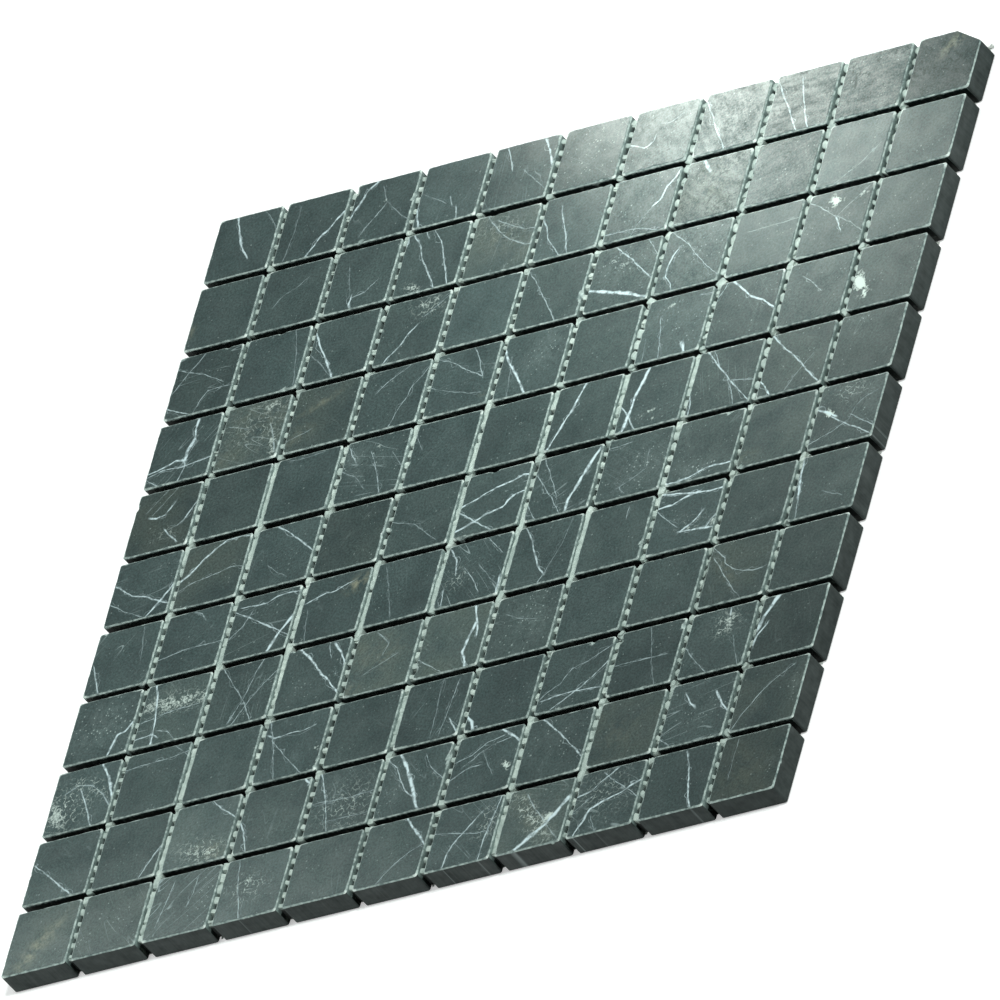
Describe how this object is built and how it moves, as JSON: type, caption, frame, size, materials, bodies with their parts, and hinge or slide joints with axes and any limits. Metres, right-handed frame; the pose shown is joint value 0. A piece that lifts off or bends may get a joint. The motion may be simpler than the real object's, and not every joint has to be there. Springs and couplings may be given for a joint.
{
  "type": "mosaic tile sheet",
  "caption": "Square sheet of small square honed dark marble chips with white veins, set in a grid with open joints on a glass-fibre mesh backing.",
  "frame": {"origin": "under the middle of the sheet, on the plane that the mesh backing rests on", "axes": "+Z out of the honed face, +X along a row of chips, +Y from the front row to the back row, where the broken corner is at the right"},
  "size_m": [0.305, 0.305, 0.0085],
  "materials": {
    "marble": "honed dark green-grey marble with white calcite veins",
    "glass_fibre": "coated white glass-fibre mesh",
    "adhesive": "dried cream-white latex adhesive"
  },
  "bodies": {
    "root": {"tile_row_01": "marble", "tile_row_02": "marble", "tile_row_03": "marble", "tile_row_04": "marble", "tile_row_05": "marble", "tile_row_06": "marble", "tile_row_07": "marble", "tile_row_08": "marble", "tile_row_09": "marble", "tile_row_10": "marble", "tile_row_11": "marble", "net_warp_threads": "glass_fibre", "net_weft_threads": "glass_fibre", "glue_lines": "adhesive"}
  },
  "joints": []
}
